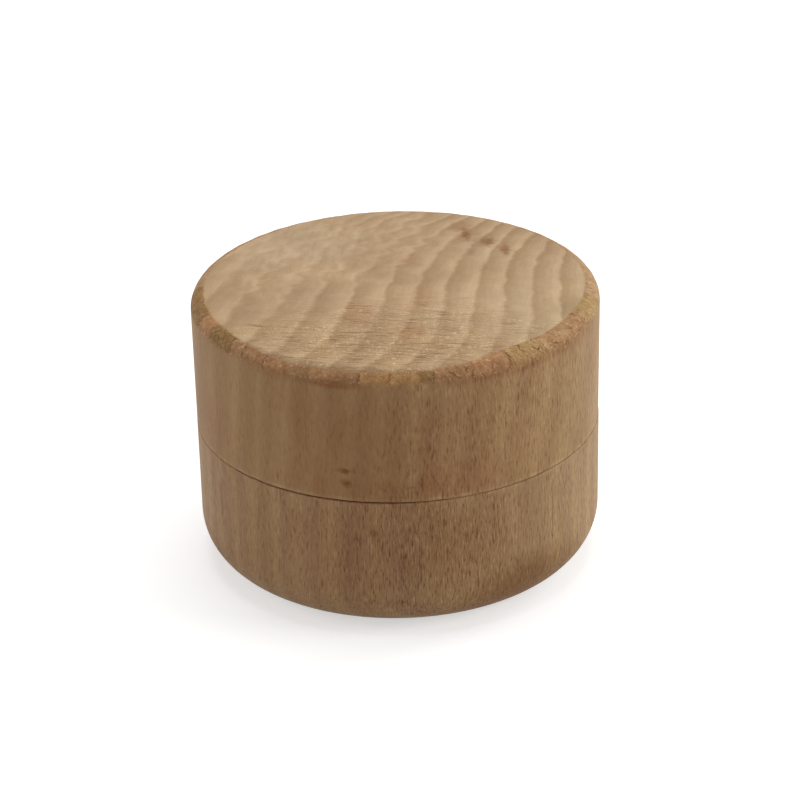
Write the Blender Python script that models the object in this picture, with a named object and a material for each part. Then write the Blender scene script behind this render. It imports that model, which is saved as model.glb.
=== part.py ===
"""Round lidded keepsake box, turned from two blanks of one pale hardwood.

A cup and a cap meet in a lap joint: the spigot raised on the cup enters the
rebate turned inside the cap, and the cap's rim sits over the cup's shoulder.
Metres, +Z up, origin at the middle of the underside.
"""

import math

import bmesh
import bpy

# The outside: a cup and a cap of one diameter, which close to a height of 35 mm.
OUTER_DIAMETER = 0.050
BASE_HEIGHT = 0.0181
LID_HEIGHT = 0.0166
FOOT_RADIUS = 0.006
RIM_RADIUS = 0.002
RIM_SWEEP = math.radians(75)
SEAM_ARRIS = 0.0002

# The space inside, 40 mm across and 25 mm high when closed.
WALL_THICKNESS = 0.005
FLOOR_THICKNESS = 0.005
CROWN_THICKNESS = 0.005
COVE_RADIUS = 0.0025
BORE_EASE = 0.0003

# The lap joint between cup and cap.
SPIGOT_WALL = 0.0024
SPIGOT_HEIGHT = 0.0045
NOSE_RADIUS = 0.0006
ROOT_FILLET = 0.0004
FIT_CLEARANCE = 0.0002
SEAT_GAP = 0.0003
END_CLEARANCE = 0.0003

# How finely the turned surfaces are faceted, and which edges stay crisp.
SEGMENTS = 96
CHORD_ERROR = 0.00003
SHARP_ANGLE = math.radians(25)
MERGE_DISTANCE = 0.000001

# Bare sanded beech: linear red, green and blue, and roughness.
BASE_COLOUR = (0.30, 0.18, 0.10)
BASE_ROUGHNESS = 0.68
LID_COLOUR = (0.42, 0.29, 0.17)
LID_ROUGHNESS = 0.62

# Radii and heights that follow from the sizes above.
OUTER_RADIUS = OUTER_DIAMETER / 2
BORE_RADIUS = OUTER_RADIUS - WALL_THICKNESS
SPIGOT_RADIUS = BORE_RADIUS + SPIGOT_WALL
REBATE_RADIUS = SPIGOT_RADIUS + FIT_CLEARANCE
LID_SEAT = BASE_HEIGHT + SEAT_GAP

QUARTER = math.pi / 2
FULL_TURN = 2 * math.pi


def arc(centre_r, centre_z, radius, start, end):
    """Points of a circular arc in the (r, z) half plane, both ends included."""
    widest_step = 2 * math.acos(1 - CHORD_ERROR / radius)
    steps = max(2, math.ceil(abs(end - start) / widest_step))
    angles = [start + (end - start) * i / steps for i in range(steps + 1)]
    return [
        (centre_r + radius * math.cos(a), centre_z + radius * math.sin(a))
        for a in angles
    ]


def base_outline():
    """Half section of the cup, from the middle of its floor to the middle of its underside."""
    spigot_top = BASE_HEIGHT + SPIGOT_HEIGHT
    floor_cove = arc(
        BORE_RADIUS - COVE_RADIUS, FLOOR_THICKNESS + COVE_RADIUS, COVE_RADIUS, -QUARTER, 0
    )
    eased_mouth = [
        (BORE_RADIUS, spigot_top - BORE_EASE),
        (BORE_RADIUS + BORE_EASE, spigot_top),
    ]
    spigot_nose = arc(
        SPIGOT_RADIUS - NOSE_RADIUS, spigot_top - NOSE_RADIUS, NOSE_RADIUS, QUARTER, 0
    )
    spigot_root = arc(
        SPIGOT_RADIUS + ROOT_FILLET,
        BASE_HEIGHT + ROOT_FILLET,
        ROOT_FILLET,
        2 * QUARTER,
        3 * QUARTER,
    )
    shoulder_arris = arc(
        OUTER_RADIUS - SEAM_ARRIS, BASE_HEIGHT - SEAM_ARRIS, SEAM_ARRIS, QUARTER, 0
    )
    rounded_foot = arc(
        OUTER_RADIUS - FOOT_RADIUS, FOOT_RADIUS, FOOT_RADIUS, 0, -QUARTER
    )
    return [
        (0, FLOOR_THICKNESS),
        *floor_cove,
        *eased_mouth,
        *spigot_nose,
        *spigot_root,
        *shoulder_arris,
        *rounded_foot,
        (0, 0),
    ]


def lid_outline():
    """Half section of the cap above its seat, from the middle of its top to the middle of its ceiling."""
    ceiling = LID_HEIGHT - CROWN_THICKNESS
    landing = SPIGOT_HEIGHT + END_CLEARANCE
    mouth_lead = ROOT_FILLET + FIT_CLEARANCE
    rounded_rim = arc(
        OUTER_RADIUS - RIM_RADIUS,
        LID_HEIGHT - RIM_RADIUS * math.sin(RIM_SWEEP),
        RIM_RADIUS,
        RIM_SWEEP,
        0,
    )
    seat_arris = arc(OUTER_RADIUS - SEAM_ARRIS, SEAM_ARRIS, SEAM_ARRIS, 0, -QUARTER)
    rebate = [
        (REBATE_RADIUS + mouth_lead, 0),
        (REBATE_RADIUS, mouth_lead),
        (REBATE_RADIUS, landing),
    ]
    eased_landing = [
        (BORE_RADIUS + BORE_EASE, landing),
        (BORE_RADIUS, landing + BORE_EASE),
    ]
    ceiling_cove = arc(
        BORE_RADIUS - COVE_RADIUS, ceiling - COVE_RADIUS, COVE_RADIUS, 0, QUARTER
    )
    return [
        (0, LID_HEIGHT),
        *rounded_rim,
        *seat_arris,
        *rebate,
        *eased_landing,
        *ceiling_cove,
        (0, ceiling),
    ]


def turn(name, outline, seat_height, material):
    """Turn a half section about the Z axis into one closed body that stands at seat_height."""
    bm = bmesh.new()
    points = [bm.verts.new((r, 0, z)) for r, z in outline]
    edges = [bm.edges.new(pair) for pair in zip(points, points[1:])]
    bmesh.ops.spin(
        bm,
        geom=points + edges,
        axis=(0, 0, 1),
        cent=(0, 0, 0),
        angle=FULL_TURN,
        steps=SEGMENTS,
        use_merge=True,
    )
    bmesh.ops.remove_doubles(bm, verts=bm.verts, dist=MERGE_DISTANCE)
    bmesh.ops.recalc_face_normals(bm, faces=bm.faces)
    mesh = bpy.data.meshes.new(name)
    bm.to_mesh(mesh)
    bm.free()
    mesh.shade_smooth()
    mesh.set_sharp_from_angle(angle=SHARP_ANGLE)
    mesh.materials.append(material)
    piece = bpy.data.objects.new(name, mesh)
    piece.location = (0, 0, seat_height)
    bpy.context.scene.collection.objects.link(piece)
    return piece


def sanded_wood(name, colour, roughness):
    """Bare wood with no metal in it, matt from the sanding."""
    material = bpy.data.materials.new(name)
    material.use_nodes = True
    shader = material.node_tree.nodes["Principled BSDF"]
    shader.inputs["Base Color"].default_value = (*colour, 1)
    shader.inputs["Roughness"].default_value = roughness
    shader.inputs["Metallic"].default_value = 0
    return material


def build():
    for leftover in list(bpy.data.objects):
        bpy.data.objects.remove(leftover, do_unlink=True)
    base_wood = sanded_wood("base_beech", BASE_COLOUR, BASE_ROUGHNESS)
    lid_wood = sanded_wood("lid_beech", LID_COLOUR, LID_ROUGHNESS)
    base = turn("box_base", base_outline(), 0, base_wood)
    lid = turn("box_lid", lid_outline(), LID_SEAT, lid_wood)
    lid.parent = base


build()
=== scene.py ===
# %% [markdown]
# # A turned beech keepsake box
#
# The real object is two pieces of wood, both turned on a lathe: a cup, and a lid whose hollowed
# underside drops over a raised collar on the cup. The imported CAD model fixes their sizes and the
# way the lid lifts. This lesson adds the looks: finer meshes, bare sanded beech, light and camera.

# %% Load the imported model
import math

import bmesh
import bpy
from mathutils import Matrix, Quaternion, Vector, noise


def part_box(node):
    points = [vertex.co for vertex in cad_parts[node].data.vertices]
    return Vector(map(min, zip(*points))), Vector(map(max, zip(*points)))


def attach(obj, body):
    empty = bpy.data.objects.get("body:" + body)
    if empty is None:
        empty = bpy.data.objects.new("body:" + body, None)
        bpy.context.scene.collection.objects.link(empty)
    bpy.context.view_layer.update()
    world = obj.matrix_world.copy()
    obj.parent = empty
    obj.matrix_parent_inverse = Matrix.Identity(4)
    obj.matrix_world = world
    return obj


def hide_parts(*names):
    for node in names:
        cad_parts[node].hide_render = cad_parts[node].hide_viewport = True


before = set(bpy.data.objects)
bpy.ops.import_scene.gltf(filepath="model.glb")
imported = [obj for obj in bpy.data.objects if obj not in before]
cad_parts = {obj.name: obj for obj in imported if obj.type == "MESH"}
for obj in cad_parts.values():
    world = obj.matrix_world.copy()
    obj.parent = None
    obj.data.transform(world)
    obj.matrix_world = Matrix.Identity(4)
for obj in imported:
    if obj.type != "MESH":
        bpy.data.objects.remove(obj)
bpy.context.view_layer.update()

# %% [markdown]
# ## Sizes
#
# The height and the radius are read from the CAD boxes, so that the dressed pieces can't drift away
# from the solids that they stand for. What a box can't tell is named where it is first needed. All
# outlines below are drawn in millimetres and become metres last.

# %% Read the outer sizes
MM = 0.001
_, cup_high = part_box("box_base")
_, lid_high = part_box("box_lid")
OUTER_RADIUS = lid_high.x / MM
LID_TOP = lid_high.z / MM
COLLAR_TOP = cup_high.z / MM
GIRTH = 2 * math.pi * OUTER_RADIUS
print(f"radius {OUTER_RADIUS:.2f} mm, lid top {LID_TOP:.2f} mm, collar top {COLLAR_TOP:.2f} mm")

# %% [markdown]
# ## Camera
#
# The box was photographed from about 26 degrees above, through a lens long enough to keep the lid's
# ellipse and the foot's ellipse nearly alike. The camera is aimed a little above and to the right
# of the middle of the box, and it leans by just over a degree. An aim is used and not a lens shift,
# because other views of the same scene move the camera and keep its shift.

# %% Set up the camera
EYE_DISTANCE = 340.0
EYE_ELEVATION = math.radians(26.405)
EYE_LEAN = math.radians(-1.371)
LENS = 122.5
NEAREST_SEEN = 10.0
AIM_RIGHT = 0.295
AIM_UP = 1.565

box_middle = Vector((0, 0, LID_TOP / 2))
towards_eye = Vector((0, -math.cos(EYE_ELEVATION), math.sin(EYE_ELEVATION)))
view_up = Vector((0, math.sin(EYE_ELEVATION), math.cos(EYE_ELEVATION)))
eye = box_middle + EYE_DISTANCE * towards_eye
aim = box_middle + AIM_RIGHT * Vector((1, 0, 0)) + AIM_UP * view_up

camera = bpy.data.objects.new("camera", bpy.data.cameras.new("camera"))
camera.data.lens = LENS
camera.data.clip_start = NEAREST_SEEN * MM
camera.location = eye * MM
camera.rotation_mode = "QUATERNION"
level_view = (aim - eye).to_track_quat("-Z", "Y")
camera.rotation_quaternion = level_view @ Quaternion((0, 0, 1), EYE_LEAN)
bpy.context.scene.collection.objects.link(camera)
bpy.context.scene.camera = camera
print(f"camera {EYE_DISTANCE:.0f} mm from the box, {LENS:.1f} mm lens")

# %% [markdown]
# ## Outlines
#
# A turned piece is one half section swept round an axis. Blender's Screw modifier does that, but
# every slice of it is the same. Here the outline is a function of the angle, because two things on
# the real box change on the way round: the gap at the seam, and the edge of the lid's top, which
# was sanded by hand. An angle of zero faces the camera, and angles grow to the right. A long
# straight run gets an extra point near each end, so that the smooth shading of the rounding next to
# it doesn't bleed over the flat.

# %% Draw arcs and hold flat faces flat
LONG_RUN = 1.5
HOLD = 0.12


def arc(centre_r, centre_z, radius, start, end, steps):
    """Points along an arc in the half plane. Angles are in degrees."""
    angles = [math.radians(start + (end - start) * i / steps) for i in range(steps + 1)]
    return [(centre_r + radius * math.cos(a), centre_z + radius * math.sin(a)) for a in angles]


def hold_flats(outline):
    """Add a point near both ends of each long straight run, so that it is shaded flat."""
    held = [outline[0]]
    for (r0, z0), (r1, z1) in zip(outline, outline[1:]):
        run = math.hypot(r1 - r0, z1 - z0)
        if run > LONG_RUN:
            share = HOLD / run
            held.append((r0 + (r1 - r0) * share, z0 + (z1 - z0) * share))
            held.append((r1 - (r1 - r0) * share, z1 - (z1 - z0) * share))
        held.append((r1, z1))
    return held


print("a quarter arc in 4 steps:", [(round(r, 2), round(z, 2)) for r, z in arc(0, 0, 1, 0, 90, 4)])

# %% [markdown]
# ## The cup
#
# The cup is bored to 40 mm across with a coved corner, which a turner leaves so that no dust or
# chisel mark stays in it. Its collar has a rounded nose that finds the lid. The outside is sanded,
# and its foot is rounded by 6 mm. Cylinders cut from each other would give the same form, but then
# each rounding is a bevel that has to be found and tuned. Here it is an arc in the outline, which
# starts in the middle of the cup's floor and ends in the middle of its underside. Next to its
# radius in millimetres, each arc has as many steps as keep its facets from showing.

# %% Outline the cup
BORE_RADIUS = 20.0
CUP_FLOOR = 5.0
COVE_ROUND, COVE_STEPS = 2.5, 10
BORE_EASE, EASE_STEPS = 0.3, 4
COLLAR_RADIUS = 22.4
COLLAR_NOSE, NOSE_STEPS = 0.6, 6
ROOT_FILLET, FILLET_STEPS = 0.4, 5
SHOULDER = 18.1
ARRIS_ROUND, ARRIS_STEPS = 0.14, 5
FOOT_ROUND, FOOT_STEPS = 6.0, 26


def cup_inside():
    """From the middle of the floor up the bore, over the collar and down to the shoulder."""
    root_r, root_z = COLLAR_RADIUS + ROOT_FILLET, SHOULDER + ROOT_FILLET
    return [
        (0, CUP_FLOOR),
        *arc(BORE_RADIUS - COVE_ROUND, CUP_FLOOR + COVE_ROUND, COVE_ROUND, -90, 0, COVE_STEPS),
        *arc(BORE_RADIUS + BORE_EASE, COLLAR_TOP - BORE_EASE, BORE_EASE, 180, 90, EASE_STEPS),
        *arc(COLLAR_RADIUS - COLLAR_NOSE, COLLAR_TOP - COLLAR_NOSE, COLLAR_NOSE, 90, 0, NOSE_STEPS),
        *arc(root_r, root_z, ROOT_FILLET, 180, 270, FILLET_STEPS),
    ]


def cup_outside():
    """From the shoulder down the side and round the foot to the middle of the underside."""
    return [
        *arc(OUTER_RADIUS - ARRIS_ROUND, SHOULDER - ARRIS_ROUND, ARRIS_ROUND, 90, 0, ARRIS_STEPS),
        *arc(OUTER_RADIUS - FOOT_ROUND, FOOT_ROUND, FOOT_ROUND, 0, -90, FOOT_STEPS),
        (0, 0),
    ]


print(len(cup_inside()), "points inside and", len(cup_outside()), "outside")

# %% [markdown]
# ## Lines that wander
#
# Nothing that was sanded by hand is quite even. Smooth noise read on a circle gives a wander that
# meets itself after a full turn. What changes more slowly, such as a seam that gapes on one side,
# follows a short table of angles and values, read in between its entries.

# %% Wander round the axis and read a table
# Blender's noise runs from about -0.5 to 0.5.
NOISE_REACH = 0.5


def wander(angle, waves, seed):
    """Smooth noise from about -1 to 1 that closes on itself, with that many waves in a turn."""
    reach = waves / (2 * math.pi)
    here = Vector((reach * math.sin(angle), reach * math.cos(angle), seed))
    return noise.noise(here) / NOISE_REACH


def read_table(table, angle):
    """Value at an angle, in between the entries of a table of degrees and values."""
    degrees = math.degrees(math.remainder(angle, 2 * math.pi))
    for (a0, v0), (a1, v1) in zip(table, table[1:]):
        if degrees <= a1:
            break
    return v0 + (v1 - v0) * (degrees - a0) / (a1 - a0)


print("halfway between 0 and 90 degrees:", read_table(((0, 1.0), (90, 2.0)), math.pi / 4))

# %% [markdown]
# ## The seam
#
# Closed, the lid sits a hair above the cup's shoulder. The seam is a fine dark line that is widest
# on the front left, by less than a tenth of a millimetre, and it all but closes on the right. There
# the lid's edge stands back from the cup's side instead, and the line breaks up into short dashes.
# The line could be painted on, but a real gap looks right from every side and opens with the lid.
# So a gap and a step, both in millimetres, follow the angle. The back isn't seen and is even.

# %% Measure the seam
SEAM_WANDER = 0.022
SEAM_LEAST = 0.004
GAP_WAVES, GAP_SEED = 110, 4.0
STEP_WAVES, STEP_SEED = 90, 7.0
SEAM_GAPS = (
    (-180, 0.05), (-90, 0.02), (-70, 0.0), (-58, 0.015), (-48, 0.04), (-40, 0.065), (-12, 0.065),
    (-4, 0.045), (8, 0.04), (14, 0.015), (58, 0.01), (70, 0.0), (90, 0.02), (120, 0.04), (180, 0.05),
)
SEAM_STEPS = (
    (-180, 0.04), (-60, 0.02), (-20, 0.0), (12, 0.02), (25, 0.07), (60, 0.09), (180, 0.04),
)


def seam_gap(angle):
    """Height of the lid's lower edge above the cup's shoulder."""
    gap = read_table(SEAM_GAPS, angle) + SEAM_WANDER * wander(angle, GAP_WAVES, GAP_SEED)
    return max(SEAM_LEAST, gap)


def seam_step(angle):
    """How far the lid's lower edge stands back from the cup's side."""
    step = read_table(SEAM_STEPS, angle) + SEAM_WANDER * wander(angle, STEP_WAVES, STEP_SEED)
    return max(0.0, step)


print("seam gap at the front", round(seam_gap(0), 3), "mm, at the right", round(seam_gap(1.2), 3), "mm")

# %% [markdown]
# ## The lid's outside
#
# The lid's rim is rounded by 2 mm but stops short of a full quarter turn, which leaves a faint
# corner where the flat top begins. On the real lid that corner wanders by a tenth of a millimetre,
# because end grain tears and the sandpaper was held by hand. A bump map can't move a corner that
# shows against the light, so two wanders change how far the rounding turns.

# %% Outline the outside of the lid
RIM_ROUND, RIM_STEPS = 2.0, 18
RIM_SWEEP = 75.0
RIM_WANDER = 4.0
RIM_WAVES = ((26, 1.0, 0.3), (95, 2.0, 0.8))
RIM_EASE, CORNER_STEPS = 0.12, 3


def lid_outside(angle):
    """From the middle of the top round the rim and down the side to the seam."""
    uneven = sum(weight * wander(angle, waves, seed) for waves, seed, weight in RIM_WAVES)
    sweep = RIM_SWEEP + RIM_WANDER * uneven
    centre_r = OUTER_RADIUS - RIM_ROUND
    centre_z = LID_TOP - RIM_EASE - (RIM_ROUND - RIM_EASE) * math.sin(math.radians(sweep))
    ease_r = centre_r + (RIM_ROUND - RIM_EASE) * math.cos(math.radians(sweep))
    edge_r = OUTER_RADIUS - seam_step(angle) - ARRIS_ROUND
    edge_z = SHOULDER + seam_gap(angle) + ARRIS_ROUND
    return [
        (0, LID_TOP),
        *arc(ease_r, LID_TOP - RIM_EASE, RIM_EASE, 90, sweep, CORNER_STEPS),
        *arc(centre_r, centre_z, RIM_ROUND, sweep, 0, RIM_STEPS)[1:],
        *arc(edge_r, edge_z, ARRIS_ROUND, 0, -90, ARRIS_STEPS),
    ]


print(len(lid_outside(0)), "points outside")

# %% [markdown]
# ## The lid's inside
#
# A rebate inside the lid goes over the collar, with 0.2 mm of air all round, so that the lid slides
# on by hand. It stops a little above the collar's nose, and its mouth is bevelled to clear the
# fillet at the collar's root. Nobody sees the joint when the box is closed, but the lid lifts.

# %% Outline the inside of the lid
REBATE_RADIUS = 22.6
LID_LANDING = 23.2
LID_CEILING = 30.0


def lid_inside(angle):
    """From the seam up the rebate, in to the landing and over the ceiling."""
    bevel = ROOT_FILLET + REBATE_RADIUS - COLLAR_RADIUS
    bevel_top = LID_LANDING - COLLAR_TOP + SHOULDER + bevel
    return [
        (REBATE_RADIUS + bevel, SHOULDER + seam_gap(angle)),
        (REBATE_RADIUS, bevel_top),
        (REBATE_RADIUS, LID_LANDING),
        *arc(BORE_RADIUS + BORE_EASE, LID_LANDING + BORE_EASE, BORE_EASE, 270, 180, EASE_STEPS),
        *arc(BORE_RADIUS - COVE_ROUND, LID_CEILING - COVE_ROUND, COVE_ROUND, 0, 90, COVE_STEPS),
        (0, LID_CEILING),
    ]


print(len(lid_inside(0)), "points inside")

# %% [markdown]
# ## Turning
#
# Each outline is placed at 480 stations round the axis, a third of a millimetre apart at the rim,
# and neighbouring stations are joined with quads. The two ends of the outline lie on the axis and
# close with a fan. So many faces are cheap for two pieces, and the wander needs them. Faces of the
# sanded outside take the first material and those left by the tool inside take the second.

# %% Turn an outline into a mesh
STATIONS = 480
SHARP_ANGLE = math.radians(35)
SANDED, BORED = 0, 1


def turn(name, outline_at, finish_of_run):
    """Sweep outline_at(angle) round the Z axis into one closed mesh, in metres."""
    mesh = bmesh.new()
    angles = [2 * math.pi * i / STATIONS for i in range(STATIONS)]
    outlines = [outline_at(angle) for angle in angles]
    axis_start = mesh.verts.new((0, 0, outlines[0][0][1] * MM))
    axis_end = mesh.verts.new((0, 0, outlines[0][-1][1] * MM))
    stations = []
    for angle, outline in zip(angles, outlines):
        right, back = math.sin(angle) * MM, -math.cos(angle) * MM
        stations.append([mesh.verts.new((r * right, r * back, z * MM)) for r, z in outline[1:-1]])
    for here, there in zip(stations, stations[1:] + stations[:1]):
        strip = [(axis_start, here[0], there[0])]
        for k in range(len(here) - 1):
            strip.append((here[k], here[k + 1], there[k + 1], there[k]))
        strip.append((here[-1], axis_end, there[-1]))
        for run, corners in enumerate(strip):
            mesh.faces.new(corners).material_index = finish_of_run(run)
    bmesh.ops.recalc_face_normals(mesh, faces=mesh.faces)
    data = bpy.data.meshes.new(name)
    mesh.to_mesh(data)
    mesh.free()
    data.shade_smooth()
    data.set_sharp_from_angle(angle=SHARP_ANGLE)
    piece = bpy.data.objects.new(name, data)
    bpy.context.scene.collection.objects.link(piece)
    return piece


print("one station every", round(GIRTH / STATIONS, 2), "mm round the side")

# %% [markdown]
# ## The two pieces
#
# The cup rides on the body "base" and the lid on the body "lid", which the joint lifts. Each stands
# for its CAD solid, which stays behind for collisions only. The number of points in the first half
# of an outline tells at which run the finish changes.

# %% Turn the cup and the lid
cup_change = len(hold_flats(cup_inside()))
lid_change = len(hold_flats(lid_outside(0)))
cup = turn(
    "turned_cup",
    lambda angle: hold_flats(cup_inside() + cup_outside()),
    lambda run: BORED if run < cup_change else SANDED,
)
lid = turn(
    "turned_lid",
    lambda angle: hold_flats(lid_outside(angle) + lid_inside(angle)),
    lambda run: SANDED if run < lid_change else BORED,
)
for piece, body, node in ((cup, "base", "box_base"), (lid, "lid", "box_lid")):
    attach(piece, body)
    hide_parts(node)
    piece.data.calc_loop_triangles()
    print(piece.name, len(piece.data.loop_triangles), "triangles, stands for", node)

# %% [markdown]
# ## Colours
#
# Colours are written as people pick them, in sRGB hex, and shaders work in linear light, so one
# function converts. The four numbers are those of the sRGB standard: a straight line for the
# darkest values and a power curve above it.

# %% Turn sRGB hex into linear light
SRGB_KNEE, SRGB_SLOPE, SRGB_OFFSET, SRGB_POWER = 0.04045, 12.92, 0.055, 2.4


def linear_light(channel):
    """Linear value of one sRGB channel from 0 to 1."""
    if channel <= SRGB_KNEE:
        return channel / SRGB_SLOPE
    return ((channel + SRGB_OFFSET) / (1 + SRGB_OFFSET)) ** SRGB_POWER


def colour(hex_code):
    """Linear RGBA of an sRGB colour such as '#b49774'."""
    return (*(linear_light(int(hex_code[i : i + 2], 16) / 255) for i in (1, 3, 5)), 1)


print("pale end grain in linear light:", [round(c, 3) for c in colour("#b49774")])

# %% [markdown]
# ## One helper for nodes
#
# The helper adds a node, sets its properties and fills its inputs with numbers or with links, which
# keeps each pattern below to a few readable lines. A colour ramp also takes a list of stops, 32 at
# most. The Mix node has sockets for several kinds of value under the same names, so its colour
# sockets are picked by number.

# %% Add a node
MIX_SHARE, MIX_A, MIX_B, MIX_RESULT = 0, 6, 7, 2


def add(tree, kind, inputs, stops=(), **settings):
    """Add a node, set its properties and a ramp's stops, and fill its inputs or link them."""
    node = tree.nodes.new(kind)
    for name, value in settings.items():
        setattr(node, name, value)
    if stops:
        elements = node.color_ramp.elements
        elements.remove(elements[-1])
        elements[0].position, elements[0].color = stops[0]
        for position, shade in stops[1:]:
            elements.new(position).color = shade
    for key, value in inputs.items():
        if isinstance(value, bpy.types.NodeSocket):
            tree.links.new(value, node.inputs[key])
        else:
            node.inputs[key].default_value = value
    return node


print("the Mix node's colours are inputs", MIX_A, "and", MIX_B)

# %% [markdown]
# ## Where in the tree each piece grew
#
# A picture of wood wrapped round the box would show where it is wrapped, and its top wouldn't fit
# its side. Beech is drawn here as a solid, so that top, side and hollow all cut the same rings.
# Each blank stood in its own way in the tree. The lid's grain leans by 7 degrees, and its growth
# rings cross the top from front to back. Their ring number is a polynomial of the place, fitted to
# where the ring edges lie on the real lid: it rises by one over each ring of 3 to 4 mm. On the cup
# the rings face the front right, which is where its side shows the most ray flecks. On the lid the
# flecks begin left of the middle and thicken to the right. No two blanks are of quite the same
# colour, so each has its own two browns.

# %% Describe the two blanks
BLANKS = {
    "turned_lid": {
        "lean": math.radians(7.1),
        "radius_heading": math.radians(-11),
        "rings": {
            "start": 0.187,
            "x": 0.268,
            "xx": 0.0012,
            "xy": 0.00144,
            "y": -0.0493,
            "yy": -0.00216,
            "yyy": -0.00013,
        },
        "side_pale": "#ac865a",
        "side_dark": "#a0794f",
        "fleck_reach": (-7.0, 6.0),
        "fleck_least": 0.4,
        "fleck_depth": 0.36,
    },
    "turned_cup": {
        "lean": math.radians(1.5),
        "radius_heading": math.radians(-70),
        "rings": {
            "start": -1.209,
            "x": 0.0953,
            "xx": -0.00176,
            "xy": -0.00128,
            "y": -0.262,
            "yy": -0.00023,
            "yyy": 0.0,
        },
        "side_pale": "#af8a5f",
        "side_dark": "#a17b55",
        "fleck_reach": (-24.0, -4.0),
        "fleck_least": 0.55,
        "fleck_depth": 0.40,
    },
}
for name, blank in BLANKS.items():
    print(name, "leans by", round(math.degrees(blank["lean"]), 1), "degrees in the tree")

# %% [markdown]
# ## Places
#
# Object coordinates move with the piece, so the wood stays in the lid when the lid is lifted. They
# become millimetres first. Each pattern then needs the place in its own way: on the lathe, in the
# leaning wood, along the rays, which run out from the heart of the tree, or round the axis. All of
# them go into one table of layers, and so does every pattern after them, under a plain name.

# %% Find the place in the wood
def wood_places(tree, blank):
    """Layers with the place on the lathe, in the leaning wood, and both with X along the rays."""
    coordinates = add(tree, "ShaderNodeTexCoord", {}).outputs["Object"]
    scaled = {0: coordinates, "Scale": 1 / MM}
    lathe = add(tree, "ShaderNodeVectorMath", scaled, operation="SCALE").outputs[0]
    below_top = {0: lathe, 1: (0, 0, LID_TOP)}
    below_top = add(tree, "ShaderNodeVectorMath", below_top, operation="SUBTRACT").outputs[0]
    leaning = {"Vector": below_top, "Angle": -blank["lean"]}
    wood = add(tree, "ShaderNodeVectorRotate", leaning, rotation_type="Y_AXIS").outputs[0]
    layers = {"lathe": lathe, "wood": wood}
    for name, place in (("along_rays", wood), ("upright", lathe)):
        heading = {"Vector": place, "Angle": -blank["radius_heading"]}
        layers[name] = add(tree, "ShaderNodeVectorRotate", heading, rotation_type="Z_AXIS").outputs[0]
    return layers


def axis_places(tree, layers):
    """Add the height, the distance from the axis, and the share of a turn: 0.5 faces the camera."""
    split = add(tree, "ShaderNodeSeparateXYZ", {0: layers["lathe"]}).outputs
    level = {0: layers["lathe"], 1: (1, 1, 0)}
    level = add(tree, "ShaderNodeVectorMath", level, operation="MULTIPLY").outputs[0]
    away = add(tree, "ShaderNodeVectorMath", {0: level}, operation="LENGTH").outputs["Value"]
    towards = add(tree, "ShaderNodeMath", {0: split["Y"], 1: -1.0}, operation="MULTIPLY").outputs[0]
    angle = add(tree, "ShaderNodeMath", {0: split["X"], 1: towards}, operation="ARCTAN2").outputs[0]
    turns = {"Value": angle, "From Min": -math.pi, "From Max": math.pi}
    around = add(tree, "ShaderNodeMapRange", turns).outputs[0]
    layers.update(height=split["Z"], from_axis=away, around=around)


lid_rays = math.degrees(BLANKS["turned_lid"]["radius_heading"])
print("the lid's rays run", round(lid_rays), "degrees from left to right")

# %% [markdown]
# ## Grain
#
# Fibres, rays and grit could each have a texture node of their own kind. One noise does for all,
# squeezed to a size in millimetres along each direction of the wood, and is easier to learn. Its
# values lie mostly between 0.3 and 0.7, so an even spread stretches them from -1 to 1, as much dark
# as pale. A pattern that shows only here and there takes a narrower spread, with nothing below it.

# %% Draw grain
GRAIN_DETAIL = 1.5
EVEN = (0.3, 0.7, -1.0)


def grain(tree, place, size, spread=EVEN):
    """Noise with blots of that size in millimetres. A spread is its low, its high and its floor."""
    low, high, floor = spread
    per_size = tuple(1 / s for s in size)
    squeezed = add(tree, "ShaderNodeVectorMath", {0: place, 1: per_size}, operation="MULTIPLY")
    waves = {"Vector": squeezed.outputs[0], "Scale": 1.0, "Detail": GRAIN_DETAIL}
    cloudy = add(tree, "ShaderNodeTexNoise", waves).outputs["Fac"]
    stretched = {"Value": cloudy, "From Min": low, "From Max": high, "To Min": floor}
    return add(tree, "ShaderNodeMapRange", stretched).outputs[0]


def draw(tree, layers, patterns):
    """Add each pattern to the layers, from its name, the place it follows, its size and spread."""
    for name, (place, size, spread) in patterns.items():
        layers[name] = grain(tree, layers[place], size, spread)


print("an even spread stretches", EVEN[0], "to", EVEN[1], "from", EVEN[2], "to 1")

# %% [markdown]
# ## Adding layers up
#
# Patterns are added up by their strengths, which say how much of each there is. A strength can be
# another layer, which lets the first show only where the second does. Mix nodes would do it too,
# but a sum doesn't depend on the order.

# %% Add layers up
def summed(tree, start, weighed):
    """start plus each layer times its strength."""
    total = start
    for layer, strength in weighed:
        terms = {0: layer, 1: strength, 2: total}
        total = add(tree, "ShaderNodeMath", terms, operation="MULTIPLY_ADD").outputs[0]
    return total


def weigh(layers, strengths):
    """Pair the layers of those names with their strengths."""
    return [(layers[name], strength) for name, strength in strengths.items()]


print("two layers weighed:", weigh({"ray": "ray noise", "grit": "grit noise"}, {"ray": 0.3, "grit": 0.2}))

# %% [markdown]
# ## Patterns that every face shares
#
# A beech fibre is a few hundredths of a millimetre thick, and so is the grit of fine sandpaper.
# Both are drawn up to ten times as coarse, so that they show. The widest rays are plates about a
# fifth of a millimetre thick and a few millimetres long, and are drawn a little thicker. Blotches,
# teeth, clouds and broad clouds are unevenness at about 0.5, 1, 7 and 12 mm, as on any hand-sanded
# board. The last two patterns fray the outlines of marks and zones.

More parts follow.
